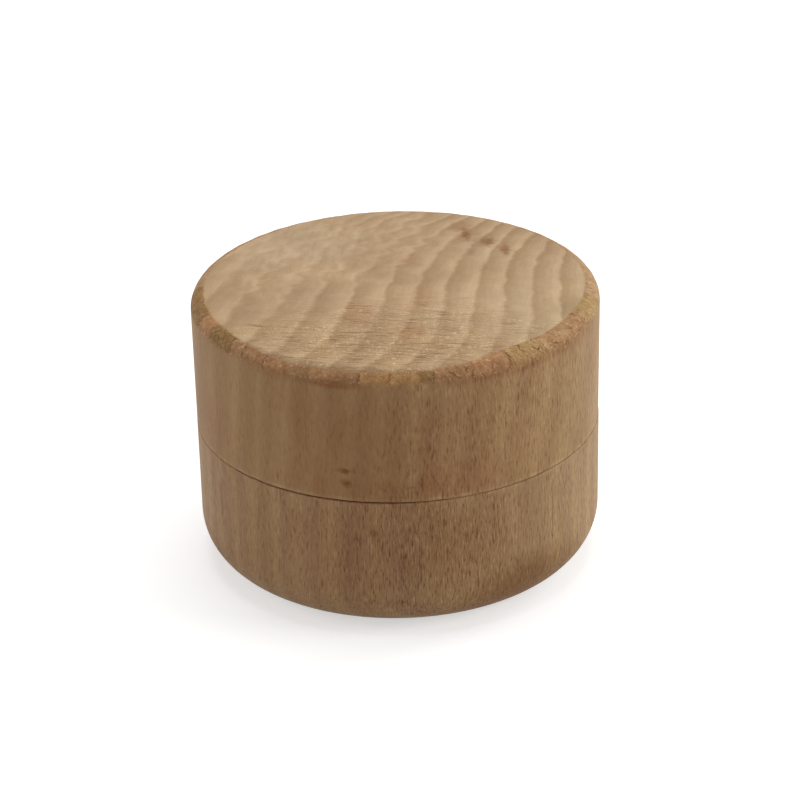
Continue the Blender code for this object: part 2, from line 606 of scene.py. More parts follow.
# %% List the shared patterns
SHARED = {
    "fibre": ("lathe", (0.22, 0.22, 3.5), EVEN),
    "ray": ("along_rays", (3.2, 0.26, 1.3), EVEN),
    "grit": ("lathe", (0.2, 0.2, 0.2), EVEN),
    "blotch": ("lathe", (0.55, 0.55, 0.55), EVEN),
    "teeth": ("lathe", (1.1, 1.1, 1.1), EVEN),
    "cloud": ("wood", (7.0, 7.0, 22.0), EVEN),
    "broad": ("wood", (12.0, 12.0, 40.0), EVEN),
    "mark_edge": ("lathe", (0.8, 0.8, 0.8), EVEN),
    "zone_edge": ("lathe", (5.0, 5.0, 9.0), EVEN),
}
print("fibres drawn", SHARED["fibre"][1][0], "mm wide")

# %% [markdown]
# ## Blots
#
# A few things make a piece of wood itself, and no noise would put them in the right spot. They
# could be painted on an image, but a list can be read and changed. Each is a soft blot with a
# place, three radii in millimetres and a depth. Noise added to the distance frays its outline.

# %% Draw a blot
FRAY = 0.2
BLOT_EDGE, BLOT_HEART = 1.1, 0.25


def on_side(degrees, height):
    """Point on the side, where 0 degrees faces the camera and angles grow to the right."""
    angle = math.radians(degrees)
    return (OUTER_RADIUS * math.sin(angle), -OUTER_RADIUS * math.cos(angle), height)


def blots(tree, layers, listed, edge="zone_edge"):
    """Sum of soft blots, each given by its middle, its radii and its depth."""
    total = 0.0
    for middle, radii, depth in listed:
        offset = {0: layers["lathe"], 1: middle}
        offset = add(tree, "ShaderNodeVectorMath", offset, operation="SUBTRACT").outputs[0]
        scaled = {0: offset, 1: tuple(1 / r for r in radii)}
        scaled = add(tree, "ShaderNodeVectorMath", scaled, operation="MULTIPLY").outputs[0]
        away = add(tree, "ShaderNodeVectorMath", {0: scaled}, operation="LENGTH").outputs["Value"]
        frayed = summed(tree, away, ((layers[edge], FRAY),))
        fall = {"Value": frayed, "From Min": BLOT_EDGE, "From Max": BLOT_HEART, "To Max": depth}
        blot = add(tree, "ShaderNodeMapRange", fall, interpolation_type="SMOOTHSTEP").outputs[0]
        total = add(tree, "ShaderNodeMath", {0: blot, 1: total}, operation="ADD").outputs[0]
    return total


print("the front of the side at mid height is", [round(v, 1) for v in on_side(0, LID_TOP / 2)])

# %% [markdown]
# ## Marks
#
# The smallest blots are marks. Three pin knots lie in a row near the back of the lid's top, where
# thin twigs left the trunk, each with a shade round it. Two brown spots, one above the other, and a
# few nicks lie on the lid's front just above the seam. The cup has one spot below the seam, a dark
# streak at the far left, a fine upright line at the right, and painted shade at both ends of the foot.

# %% List the marks
MARKS = {
    "turned_lid": (
        # The three pin knots, the shade round each, and two fainter spots in line with them.
        ((9.2, 15.2, LID_TOP), (0.8, 2.2, 3.0), 0.55),
        ((11.8, 12.6, LID_TOP), (1.1, 1.8, 3.0), 0.54),
        ((14.0, 9.9, LID_TOP), (0.8, 2.3, 3.0), 0.56),
        ((9.3, 15.8, LID_TOP), (2.2, 4.6, 3.0), 0.2),
        ((11.7, 12.9, LID_TOP), (2.2, 2.8, 3.0), 0.2),
        ((14.1, 10.2, LID_TOP), (1.5, 3.6, 3.0), 0.2),
        ((8.3, 17.8, LID_TOP), (1.5, 2.2, 2.0), 0.25),
        ((9.6, 9.2, LID_TOP), (0.8, 1.8, 2.0), 0.2),
        # The two brown spots on the side, each of a wide and a narrow blot.
        (on_side(-15, 22.15), (1.6, 1.2, 0.45), 0.42),
        (on_side(-14.3, 22.05), (0.6, 1.2, 0.55), 0.45),
        (on_side(-14.8, 20.7), (0.8, 1.2, 0.5), 0.4),
        (on_side(-14, 20.3), (0.55, 1.2, 0.6), 0.55),
        # Nicks above the seam.
        (on_side(-35, 19.6), (0.16, 1.0, 0.7), 0.6),
        (on_side(2.2, 19.2), (0.22, 1.0, 1.0), 0.4),
        (on_side(4.8, 19.2), (0.22, 1.0, 1.0), 0.4),
        (on_side(3.5, 20.1), (0.7, 1.0, 0.25), 0.4),
        (on_side(11.5, 18.9), (0.18, 1.0, 0.8), 0.7),
    ),
    "turned_cup": (
        # The spot, the streak, the line, and painted shade on the two ends of the foot.
        (on_side(-7.3, 14.1), (0.5, 1.0, 0.9), 0.68),
        (on_side(-60, 12.5), (0.35, 0.5, 5.0), 0.45),
        (on_side(47, 12.4), (0.14, 0.2, 5.5), 0.55),
        (on_side(38, 2.8), (8.0, 8.0, 2.8), 0.1),
        (on_side(-66, 3.2), (5.0, 6.0, 2.6), 0.16),
    ),
}
for name, marks in MARKS.items():
    print(name, "has", len(marks), "marks")

# %% [markdown]
# ## Shades
#
# Wider blots are shades, where the colour is browner by some tenths. The lid's front is browner in
# the middle and above the seam, in two upright bands, and in places just under the rim. Its top has
# four patches in the rings, and the cup has three on its front.

# %% List the shades
SHADES = {
    "turned_lid": (
        # Wide ones on the front of the side, and above the seam.
        (on_side(-3, 26.5), (14.0, 14.0, 9.5), 0.28),
        (on_side(-4, 19.2), (15.0, 15.0, 2.6), 0.3),
        (on_side(-25, 21.5), (4.5, 5.0, 5.0), 0.35),
        (on_side(18, 20.2), (7.0, 7.0, 3.0), 0.35),
        (on_side(-66, 22), (5.0, 6.0, 7.0), 0.35),
        (on_side(-26, 28), (4.0, 5.0, 6.0), 0.15),
        # Narrow ones just under the rim.
        (on_side(-17, 33.1), (5.0, 5.0, 0.7), 0.75),
        (on_side(30, 33.15), (13.0, 13.0, 0.9), 0.45),
        (on_side(53, 33.0), (9.0, 9.0, 1.1), 0.4),
        (on_side(-32, 33.2), (6.0, 6.0, 0.9), 0.35),
        # Two upright bands, and four patches on the top.
        (on_side(-16, 26), (2.2, 9.0, 9.0), 0.25),
        (on_side(8, 26), (1.8, 9.0, 9.0), 0.2),
        ((2.6, -4.5, LID_TOP), (3.2, 4.6, 3.0), 0.28),
        ((2.5, 7.5, LID_TOP), (2.6, 3.4, 3.0), 0.28),
        ((-4.5, -9.5, LID_TOP), (2.6, 4.5, 3.0), 0.35),
        ((2.0, -13.5, LID_TOP), (3.6, 2.6, 3.0), 0.35),
    ),
    "turned_cup": (
        # The front, and the front's right and left.
        (on_side(3, 13), (14.0, 14.0, 10.0), 0.38),
        (on_side(19, 12), (7.0, 9.0, 9.0), 0.35),
        (on_side(-22, 13), (6.0, 6.0, 8.0), 0.3),
    ),
}
for name, shades in SHADES.items():
    print(name, "has", len(shades), "shades")

# %% [markdown]
# ## Zones
#
# The widest blots are zones, where something else about the piece changes. The lid's top is mottled
# at the back left, which blurs its rings, and at the front the tool tore it a little. It is dustier
# in two patches. The rim is cracked most at the front right. Painted shade on the lips of the seam
# is deepest at the front left, where the seam gapes widest. The side is less red at the right and in
# a patch on the cup's front, painted shade darkens the foot at both ends, and each piece has a patch
# of denser flecks.

# %% List the zones
ZONES = {
    "mottled": (
        ((-9.0, 14.5, LID_TOP), (19.0, 18.0, 15.0), 1.0),
        ((-16.0, -3.0, LID_TOP), (10.0, 12.0, 15.0), 0.4),
    ),
    "torn": (((-1.0, -16.5, LID_TOP), (23.0, 14.5, 6.0), 1.0),),
    "dusty": (
        ((-13.0, 14.0, LID_TOP), (12.0, 10.0, 4.0), 0.24),
        ((11.0, -9.5, LID_TOP), (9.0, 11.0, 4.0), 0.15),
    ),
    "cracked": (
        (on_side(44, 34.2), (13.0, 13.0, 4.0), 1.0),
        (on_side(18, 34.2), (4.0, 4.0, 4.0), 0.7),
        (on_side(-56, 34.2), (4.0, 4.0, 4.0), 0.5),
    ),
    # Painted shade on the lips of the seam, deepest at the front left where the gap is widest.
    "seam_shaded": (
        (on_side(-24, 18.1), (15.0, 15.0, 9.0), 0.45),
        (on_side(6, 18.1), (5.0, 5.0, 5.0), 0.15),
    ),
    # A cast that makes the side less red, at the right and on the cup's front.
    "less_red": (
        (on_side(66, 18), (14.0, 16.0, 26.0), 0.5),
        (on_side(15, 11), (9.0, 9.0, 9.0), 0.45),
    ),
    # Painted shade that darkens the foot at both ends.
    "foot": (
        (on_side(43, 3.6), (11.0, 11.0, 5.4), 0.95),
        (on_side(24, 3.6), (9.0, 9.0, 3.5), 0.4),
        (on_side(-68, 3.5), (6.0, 8.0, 4.2), 0.7),
    ),
}
DENSE_FLECKS = {
    "turned_lid": ((on_side(40, 30), (9.0, 9.0, 7.0), 0.25),),
    "turned_cup": ((on_side(8, 11), (13.0, 13.0, 16.0), 0.55),),
}
print("zones:", ", ".join(ZONES))

# %% [markdown]
# ## Bent wood
#
# No growth ring is an even curve. Before the rings are counted, slow noise shifts the place by a
# few tenths of a millimetre. The noise is stretched along the grain, as everything in a trunk is.
# Where the figure is mottled, the rings also kink where they meet the rays, in steps of about 3 mm.

# %% Bend the wood
BEND_SIZE = 4.2
BEND_DEPTH = 1.8
BEND_DETAIL = 4.0
BEND_ROUGHNESS = 0.62
ALONG_GRAIN = 0.12
NOISE_MIDDLE = (0.5, 0.5, 0.5)
KINKS = {"kink": ("along_rays", (7.0, 3.0, 8.0), (0.4, 0.6, -1.0))}
KINK_DEPTH = 1.1


def bent_place(tree, layers):
    """Place in the blank, shifted by slow noise and, where it is mottled, by kinks."""
    across = 1 / BEND_SIZE
    slow = {0: layers["wood"], 1: (across, across, across * ALONG_GRAIN)}
    slow = add(tree, "ShaderNodeVectorMath", slow, operation="MULTIPLY").outputs[0]
    waves = {"Vector": slow, "Scale": 1.0, "Detail": BEND_DETAIL, "Roughness": BEND_ROUGHNESS}
    wobble = {0: add(tree, "ShaderNodeTexNoise", waves).outputs["Color"], 1: NOISE_MIDDLE}
    wobble = add(tree, "ShaderNodeVectorMath", wobble, operation="SUBTRACT").outputs[0]
    shift = {0: wobble, "Scale": BEND_DEPTH}
    shift = add(tree, "ShaderNodeVectorMath", shift, operation="SCALE").outputs[0]
    bent = {0: layers["wood"], 1: shift}
    bent = add(tree, "ShaderNodeVectorMath", bent, operation="ADD").outputs[0]
    split = add(tree, "ShaderNodeSeparateXYZ", {0: bent}).outputs
    kinks = summed(tree, 0.0, ((layers["kink"], layers["mottled"]),))
    return summed(tree, split["X"], ((kinks, KINK_DEPTH),)), split["Y"], split["Z"]


print("the rings bend over", BEND_SIZE, "mm and kink over", KINKS["kink"][1][1], "mm")

# %% [markdown]
# ## Growth rings
#
# In beech a ring starts with a thin dark edge and then pales slowly until the next one, so the
# fraction of the ring number goes through a colour ramp of that shape. A Wave texture would draw
# rings that are all alike and alike on both sides. Crisp rings darken within a fifth of a ring.
# Soft ones take half a ring, for the mottled part of the top and for the sides, where the rings are
# cut at a slant. Each stop is a share of a ring and a tone.

# %% Count the rings and give them their tone
RING_WIDTH = 3.7
CRISP_RING = (
    (0.0, 0.48), (0.05, 0.1), (0.1, 0.02), (0.2, 0.13), (0.5, 0.5), (0.82, 0.92), (0.92, 1.0), (1.0, 0.48),
)
SOFT_RING = (
    (0.0, 0.55), (0.12, 0.2), (0.28, 0.1), (0.6, 0.55), (0.82, 0.95), (0.92, 0.85), (1.0, 0.55),
)


def ring_number(tree, x, y, rings):
    """Ring number of a place: a polynomial of X and Y, which rises by one in each ring."""
    slope_x = summed(tree, rings["x"], ((x, rings["xx"]), (y, rings["xy"])))
    slope_y = summed(tree, rings["y"], ((summed(tree, rings["yy"], ((y, rings["yyy"]),)), y),))
    return summed(tree, rings["start"], ((x, slope_x), (y, slope_y)))


def growth_rings(tree, layers, rings):
    """Add a crisp and a soft tone, from 0 at a ring's edge to 1, and the place counted in rings."""
    x, y, z = bent_place(tree, layers)
    number = ring_number(tree, x, y, rings)
    share = add(tree, "ShaderNodeMath", {0: number}, operation="FRACT").outputs[0]
    for name, ring in (("crisp", CRISP_RING), ("soft", SOFT_RING)):
        stops = [(position, (tone, tone, tone, 1)) for position, tone in ring]
        layers[name] = add(tree, "ShaderNodeValToRGB", {0: share}, stops).outputs["Color"]
    across = add(tree, "ShaderNodeMath", {0: number, 1: RING_WIDTH}, operation="MULTIPLY").outputs[0]
    in_rings = {"X": across, "Y": y, "Z": z}
    layers["in_rings"] = add(tree, "ShaderNodeCombineXYZ", in_rings).outputs[0]


print("a ring's tone falls from", CRISP_RING[-2][1], "to", CRISP_RING[2][1], "at its edge")

# %% [markdown]
# ## Where the surface turns
#
# End grain is drawn paler and greyer than the side. Its share follows from how far the surface
# faces up or down, which changes softly over a rounding, where faces with materials of their own
# would end in a line. Some finishes belong to the outside only, such as the painted shade and
# highlight at the seam, so a second share tells the outer skin from the joint and the hollow.

# %% Tell end grain and outer skin
END_STARTS, END_FULL = 0.55, 0.97
SKIN_DEPTH = 0.8


def face_shares(tree, layers):
    """Add 1 on flat end grain and 0 on the side, and 1 on the outer skin and 0 deeper in."""
    normal = add(tree, "ShaderNodeTexCoord", {}).outputs["Normal"]
    up = add(tree, "ShaderNodeSeparateXYZ", {0: normal}).outputs["Z"]
    either_way = add(tree, "ShaderNodeMath", {0: up}, operation="ABSOLUTE").outputs[0]
    rise = {"Value": either_way, "From Min": END_STARTS, "From Max": END_FULL}
    layers["ends"] = add(tree, "ShaderNodeMapRange", rise, interpolation_type="SMOOTHSTEP").outputs[0]
    skin = {"Value": layers["from_axis"], "From Min": OUTER_RADIUS - SKIN_DEPTH}
    skin["From Max"] = OUTER_RADIUS - SKIN_DEPTH / 2
    layers["outside"] = add(tree, "ShaderNodeMapRange", skin).outputs[0]


print("end grain is full from", round(math.degrees(math.acos(END_FULL))), "degrees off level")

# %% [markdown]
# ## The rim's edges
#
# The rounded rim lies between end grain and side grain. Where it begins on the top changes by more
# than a millimetre on the way round, because the sandpaper bit deeper in places. A colour ramp over
# the angle holds that radius as a table of degrees and millimetres. Below, the rim ends at one
# height. Both edges are ragged, like torn fibres, which faces of the mesh couldn't follow.

# %% Find the rim
FULL_TURN, FACING_CAMERA = 360, 0.5
RIM_INNER = (
    (-180, 23.4), (-75, 23.3), (-62, 23.3), (-47, 23.75), (-38, 24.05), (-27, 24.25), (-2, 24.3),
    (10, 24.2), (20, 23.85), (30, 23.2), (36, 22.9), (48, 23.05), (72, 22.95), (95, 23.3), (180, 23.4),
)
RIM_INNER_SPAN = (22.0, 25.0)
RIM_INNER_FADE = 0.1
RIM_INNER_RAGGED = {"teeth": 0.12, "grit": 0.1}
RIM_LOWER = 33.4
RIM_LOWER_FADE = 0.32
RIM_LOWER_RAGGED = {"teeth": 0.17, "grit": 0.1}


def share_of_turn(degrees):
    """Share of a turn for an angle in degrees."""
    return degrees / FULL_TURN + FACING_CAMERA


def rim_share(tree, layers):
    """Add 1 on the rounded rim, with ragged edges, and 0 on the flat top and the side."""
    low, high = RIM_INNER_SPAN
    stops = []
    for degrees, radius in RIM_INNER:
        level = (radius - low) / (high - low)
        stops.append((share_of_turn(degrees), (level, level, level, 1)))
    level = add(tree, "ShaderNodeValToRGB", {0: layers["around"]}, stops).outputs["Color"]
    edge = add(tree, "ShaderNodeMapRange", {"Value": level, "To Min": low, "To Max": high}).outputs[0]
    outward = summed(tree, layers["from_axis"], ((edge, -1.0), *weigh(layers, RIM_INNER_RAGGED)))
    inner = {"Value": outward, "From Min": -RIM_INNER_FADE, "From Max": RIM_INNER_FADE}
    past_top = add(tree, "ShaderNodeMapRange", inner).outputs[0]
    upward = summed(tree, layers["height"], weigh(layers, RIM_LOWER_RAGGED))
    lower = {"Value": upward, "From Min": RIM_LOWER - RIM_LOWER_FADE}
    lower["From Max"] = RIM_LOWER + RIM_LOWER_FADE
    past_side = add(tree, "ShaderNodeMapRange", lower).outputs[0]
    layers["rim"] = summed(tree, 0.0, ((past_top, past_side),))


print("the rim begins", RIM_INNER[6][1], "mm from the axis at the front")

# %% [markdown]
# ## Blocks of the rim
#
# End grain tears in blocks of a few millimetres. Each block then takes the sandpaper in its own
# way, so the rim is a patchwork of brown, russet, pink, olive and fawn, redder than the faces beside
# it. The fawn blocks at the back are painted light: paler and greyer, as if lit from behind. Voronoi
# cells would look alike, but they wouldn't lie where the real blocks do. So the blocks are listed in
# their order, from the back by the left to the front and on, each from its angle.

# %% List the blocks of the rim
RIM_TONES = {
    "brown": "#a1784e",
    "russet": "#9f734b",
    "pink": "#a97a51",
    "tan": "#b08151",
    "pale": "#b28754",
    "olive": "#a27e4e",
    "dark": "#8d693c",
    # Fawn is painted light: the back of the rim, paler and greyer as if lit from behind.
    "backlit_fawn": "#a5815a",
}
RIM_BLOCKS = (
    (-180, "backlit_fawn"), (-140, "brown"), (-118, "backlit_fawn"), (-92, "dark"), (-73, "pink"), (-64, "dark"),
    (-53, "brown"), (-47, "russet"), (-38, "pink"), (-31, "brown"), (-25, "pink"), (-17, "russet"),
    (-11, "tan"), (-2, "pale"), (5, "dark"), (9.5, "russet"), (20, "pink"), (26, "russet"),
    (31, "olive"), (45, "brown"), (57, "russet"), (65, "olive"), (80, "backlit_fawn"), (112, "brown"),
    (134, "backlit_fawn"), (158, "brown"),
)
print("the rim wears", len(RIM_BLOCKS), "blocks of", len(RIM_TONES), "tones")

# %% [markdown]
# ## Splits between the blocks
#
# A stepped colour ramp over the angle turns the list into colours, with the edges of the blocks
# frayed by up to a third of a millimetre. Read twice, a fifth of a millimetre apart, it also finds
# the splits between them: where the two readings differ, a split runs. A split opens only in
# places.

# %% Colour the rim and find its splits
BLOCK_TEETH, BLOCK_GRIT = 0.3, 0.15
SPLIT_WIDTH = 0.2
SPLIT_STEP = 0.01
SPLITS = {"split_open": ("lathe", (1.1, 1.1, 1.1), (0.42, 0.52, 0.0))}


def rim_blocks(tree, layers):
    """Add the colour of each block of the rim, and 1 in the splits between blocks."""
    frayed = ((layers["teeth"], BLOCK_TEETH / GIRTH), (layers["grit"], BLOCK_GRIT / GIRTH))
    here = summed(tree, layers["around"], frayed)
    beside = add(tree, "ShaderNodeMath", {0: here, 1: SPLIT_WIDTH / GIRTH}, operation="ADD").outputs[0]
    stops = [(share_of_turn(degrees), colour(RIM_TONES[tone])) for degrees, tone in RIM_BLOCKS]
    tones = []
    for where in (here, beside):
        ramp = add(tree, "ShaderNodeValToRGB", {0: where}, stops)
        ramp.color_ramp.interpolation = "CONSTANT"
        tones.append(ramp.outputs["Color"])
    apart = {0: tones[0], 1: tones[1]}
    apart = add(tree, "ShaderNodeVectorMath", apart, operation="DISTANCE").outputs["Value"]
    changed = {"Value": apart, "From Max": SPLIT_STEP, "To Max": layers["split_open"]}
    layers["rubbed"] = tones[0]
    layers["splits"] = add(tree, "ShaderNodeMapRange", changed).outputs[0]


print("splits drawn", SPLIT_WIDTH, "mm wide")

# %% [markdown]
# ## Cracks and crumbs
#
# Where the rim tore it has short cracks that slant by 45 degrees, a third of a millimetre wide, and
# pale crumbs of torn fibre. The edges of Voronoi cells look like cracks too, but they close into a
# net, which these don't. Here cracks are upright noise on the unrolled rim, sheared sideways, which
# opens only in the cracked zone. The splits between blocks join them. Real crumbs are smaller than
# a tenth of a millimetre and are drawn at a quarter, so that they show.

# %% Crack the rim
CRACK_SIZE = (0.36, 1.0, 1.2)
CRACK_SPREAD = (0.60, 0.66, 0.0)
CRACK_SLANT = 1.0
CRACK_FRAY = 0.5
SPLIT_DEPTH = 0.45
CRUMBS = {"crumb": ("lathe", (0.25, 0.25, 0.25), (0.60, 0.72, 0.0))}


def rim_cracks(tree, layers):
    """Add 1 in the short slanted cracks of the rim, and less in its splits."""
    unrolled = {"around": GIRTH, "height": CRACK_SLANT, "teeth": CRACK_FRAY}
    leaning = summed(tree, 0.0, weigh(layers, unrolled))
    slanted = add(tree, "ShaderNodeCombineXYZ", {"X": leaning, "Z": layers["height"]}).outputs[0]
    strokes = grain(tree, slanted, CRACK_SIZE, CRACK_SPREAD)
    broken = ((strokes, layers["cracked"]), (layers["splits"], SPLIT_DEPTH))
    layers["cracks"] = summed(tree, 0.0, broken)


print("cracks drawn", CRACK_SIZE[0], "mm wide, crumbs", CRUMBS["crumb"][1][0], "mm")

# %% [markdown]
# ## Near the seam
#
# Two things follow the seam: painted shade on its lips, which darkens the seam line, and a painted
# highlight in patches just above it, for the light that the edges at the seam catch. Both fade out
# with the distance from a line round the box, so one helper measures it. Faces of their own could
# hold them, but neither has a sharp edge.

# %% Measure the distance from the seam
def near_seam(tree, layers, above, reach, most=1.0):
    """From 0 at that reach from a line above the shoulder to the most at half of it."""
    offset = {0: layers["height"], 1: SHOULDER + above}
    offset = add(tree, "ShaderNodeMath", offset, operation="SUBTRACT").outputs[0]
    apart = add(tree, "ShaderNodeMath", {0: offset}, operation="ABSOLUTE").outputs[0]
    near = {"Value": apart, "From Min": reach, "From Max": reach / 2, "To Max": most}
    return add(tree, "ShaderNodeMapRange", near).outputs[0]


print("the seam lies", SHOULDER, "mm up")

# %% [markdown]
# ## Brightness of the side
#
# On the side the rays are cut across and show as flecks: short brown dashes about 1 mm tall and
# 0.15 mm wide, with paler ones beside them and a few longer strokes. They fade towards the side of
# the blank that has none. Bands and strands, 2.4 and 0.9 mm wide, run the whole height, as the
# growth of single years does. Just above the seam, a painted highlight in patches stands for the
# light that the edges at the seam catch.

# %% Weigh the patterns of the side
SIDE_GRAIN = {
    "dark_fleck": ("upright", (0.30, 0.15, 1.05), (0.585, 0.70, 0.0)),
    "pale_fleck": ("upright", (0.30, 0.15, 1.05), (0.44, 0.30, 0.0)),
    "stroke": ("upright", (0.5, 0.36, 1.7), (0.61, 0.72, 0.0)),
    "dash": ("upright", (0.34, 0.20, 1.0), EVEN),
    "band": ("wood", (2.4, 2.4, 40.0), EVEN),
    "strand": ("wood", (0.9, 0.9, 30.0), EVEN),
    # Patches of the painted highlight just above the seam.
    "highlight_patch": ("lathe", (1.4, 1.4, 1.4), (0.3, 0.7, 0.0)),
}
SIDE_DASHES = {"stroke": -0.26, "dash": 0.07, "fibre": 0.05, "ray": 0.04}
SIDE_BANDS = {"band": 0.035, "strand": 0.03, "cloud": 0.045, "broad": 0.045}
# A painted highlight just above the seam, for the light that the edges at the seam catch.
SEAM_HIGHLIGHT_ABOVE = 0.15
SEAM_HIGHLIGHT_REACH = 0.5
PAINTED_SEAM_HIGHLIGHT = 0.22


def side_brightness(tree, layers, blank, dense):
    """Brightness of the upright faces."""
    reach = {"Value": add(tree, "ShaderNodeSeparateXYZ", {0: layers["wood"]}).outputs["X"]}
    reach["From Min"], reach["From Max"] = blank["fleck_reach"]
    reach["To Min"] = blank["fleck_least"]
    shown = add(tree, "ShaderNodeMapRange", reach, interpolation_type="SMOOTHSTEP").outputs[0]
    shown = summed(tree, shown, ((blots(tree, layers, dense), 1.0),))
    depth = blank["fleck_depth"]
    dashes = {"dark_fleck": -depth, "pale_fleck": depth / 2, **SIDE_DASHES}
    dashes = summed(tree, 0.0, weigh(layers, dashes))
    # Painted highlight just above the seam, on the outer skin only.
    near = near_seam(tree, layers, SEAM_HIGHLIGHT_ABOVE, SEAM_HIGHLIGHT_REACH)
    edge_highlight = summed(tree, 0.0, ((near, layers["highlight_patch"]),))
    edge_highlight = summed(tree, 0.0, ((edge_highlight, layers["outside"]),))
    return summed(tree, 1.0, ((dashes, shown), (edge_highlight, PAINTED_SEAM_HIGHLIGHT), *weigh(layers, SIDE_BANDS)))


fleck_size = SIDE_GRAIN["dark_fleck"][1]
print("flecks drawn", fleck_size[1], "by", fleck_size[2], "mm")

# %% [markdown]
# ## Brightness of the end grain
#
# On end grain the rays are fine lines across the rings. Where the tool tore the front of the top it
# left dark creases 0.2 mm wide along the rays, pale specks of dust in them, and coarser grit. Where
# the wood is mottled it has short streaks across the rays. Fine lines that follow each ring, half a
# millimetre apart, are its rows of pores. Real ones are closer and wouldn't show.

# %% Weigh the patterns of the end grain
END_GRAIN = {
    "speck": ("wood", (0.6, 0.26, 0.3), (0.58, 0.70, 0.0)),
    "crease": ("along_rays", (2.6, 0.22, 1.2), (0.56, 0.68, 0.0)),
    "streak": ("along_rays", (0.9, 2.4, 8.0), EVEN),
    "mottle": ("along_rays", (1.7, 1.7, 6.0), EVEN),
    "ring_line": ("in_rings", (0.45, 5.0, 20.0), EVEN),
}
END_TORN = {"speck": 0.45, "crease": -0.65, "ray": 0.10, "grit": 0.18}
END_STREAKS = {"streak": 0.09}
END_FINE = {"ray": 0.03, "grit": 0.04, "mottle": 0.04, "ring_line": 0.045}
END_WIDE = {"cloud": 0.07, "broad": 0.08}


def end_brightness(tree, layers):
    """Brightness of the flat end grain."""
    torn = (summed(tree, 0.0, weigh(layers, END_TORN)), layers["torn"])
    streaks = (summed(tree, 0.0, weigh(layers, END_STREAKS)), layers["mottled"])
    fine, wide = weigh(layers, END_FINE), weigh(layers, END_WIDE)
    return summed(tree, 1.0, (*fine, torn, streaks, *wide))


print("creases drawn", END_GRAIN["crease"][1][1], "mm wide")

# %% [markdown]
# ## Brightness of the whole piece
#
# The rim starts a little brighter than the faces and has dark cracks and pale crumbs. The three
# brightnesses are then laid over each other by the shares of end grain and rim. Crumbs are palest
# right at the rim's two edges, where the share of the rim is neither 0 nor 1.

# %% Weigh the patterns of the rim and join the faces
RIM_LIGHT = 1.06
RIM_GRAIN = {
    "cracks": -0.9,
    "crumb": 0.35,
    "dark_fleck": -0.15,
    "teeth": 0.09,
    "blotch": 0.12,
    "grit": 0.1,
    "ray": 0.08,
}
CRUMB_LIGHT = 1.4


def brightness(tree, layers, blank, dense):
    """Brightness of every face, and the crumbs along the rim's edges as one more layer."""
    flat = {"Value": layers["ends"]}
    flat["To Min"] = side_brightness(tree, layers, blank, dense)
    flat["To Max"] = end_brightness(tree, layers)
    light = {"Value": layers["rim"], "To Min": add(tree, "ShaderNodeMapRange", flat).outputs[0]}
    light["To Max"] = summed(tree, RIM_LIGHT, weigh(layers, RIM_GRAIN))
    light = add(tree, "ShaderNodeMapRange", light).outputs[0]
    off_rim = summed(tree, 1.0, ((layers["rim"], -1.0),))
    edge = summed(tree, 0.0, ((layers["rim"], off_rim),))
    layers["crumbs"] = summed(tree, 0.0, ((edge, layers["crumb"]),))
    return summed(tree, light, ((layers["crumbs"], CRUMB_LIGHT),))


print("the rim weighs", len(RIM_GRAIN), "patterns")

# %% [markdown]
# ## Coats of colour
#
# All patterns could share one big colour ramp, but then no colour could be changed by itself. So
# colours are laid over each other like coats, each with a share, a colour and a way to blend.

# %% Lay coats of colour
def coated(tree, base, coats):
    """The base colour under each coat, which is its share, its colour and how it blends."""
    for share, coat, blend in coats:
        mixed = {MIX_SHARE: share, MIX_A: base, MIX_B: coat}
        mixed = add(tree, "ShaderNodeMix", mixed, data_type="RGBA", blend_type=blend)
        base = mixed.outputs[MIX_RESULT]
    return base


print("a coat has a share, a colour and a way to blend")

# %% [markdown]
# ## Colour of the end grain
#
# On end grain the ring's tone picks a brown between dark and pale. The tone counts for less where
# the wood is mottled or torn. Sanding dust lies over it as a pale grey coat, and a faint yellow
# cast, which multiplies, keeps the torn part warm.

# %% Coat the end grain
END_DARK = "#a1825d"
END_PALE = "#bb9e7b"
SANDING_DUST = "#cab698"
YELLOW_CAST = "#fff9ec"
MIDDLE_TONE = 0.5
TONE_SHOWN, TONE_CHANGES = 1.08, {"mottled": -0.65, "torn": -0.3, "cloud": 0.25}
YELLOWED, YELLOW_CHANGES = 0.2, {"torn": 0.5, "cloud": 0.3}


def end_colour(tree, layers):
    """Colour of the flat end grain."""
    tone = {"Value": layers["mottled"], "To Min": layers["crisp"], "To Max": layers["soft"]}
    tone = add(tree, "ShaderNodeMapRange", tone).outputs[0]
    shown = summed(tree, TONE_SHOWN, weigh(layers, TONE_CHANGES))
    tone = {"Value": shown, "To Min": MIDDLE_TONE, "To Max": tone}
    tone = add(tree, "ShaderNodeMapRange", tone, clamp=False).outputs[0]
    yellowed = summed(tree, YELLOWED, weigh(layers, YELLOW_CHANGES))
    coats = (
        (tone, colour(END_PALE), "MIX"),
        (layers["dusty"], colour(SANDING_DUST), "MIX"),
        (yellowed, colour(YELLOW_CAST), "MULTIPLY"),
    )
    return coated(tree, colour(END_DARK), coats)


print("end grain goes from", END_DARK, "to", END_PALE)

# %% [markdown]
# ## Colour of the whole piece
#
# The side starts from the blank's own two browns and the soft rings. End grain, rim, shades, the
# zones that are less red and the painted shade on the foot follow as coats, then painted shade on
# the lips of the seam, 0.2 mm tall, which darkens the seam line, and the marks last. Browns of
# shades and zones multiply, so that the rings under them still show.

# %% Coat the whole piece
SHADE_BROWN = "#dfbda8"
# A cast that makes the colour less red.
LESS_RED_CAST = "#eefdf9"
# Painted shade for the foot.
FOOT_PAINTED_SHADE = "#d4c5a8"
# Painted shade: a brown for the lips of the seam, which darkens the seam line.
SEAM_SHADE_BROWN = "#703a08"
MARK_BROWN = "#744508"
LIP_REACH = 0.2
LIP_LEAST = 0.2


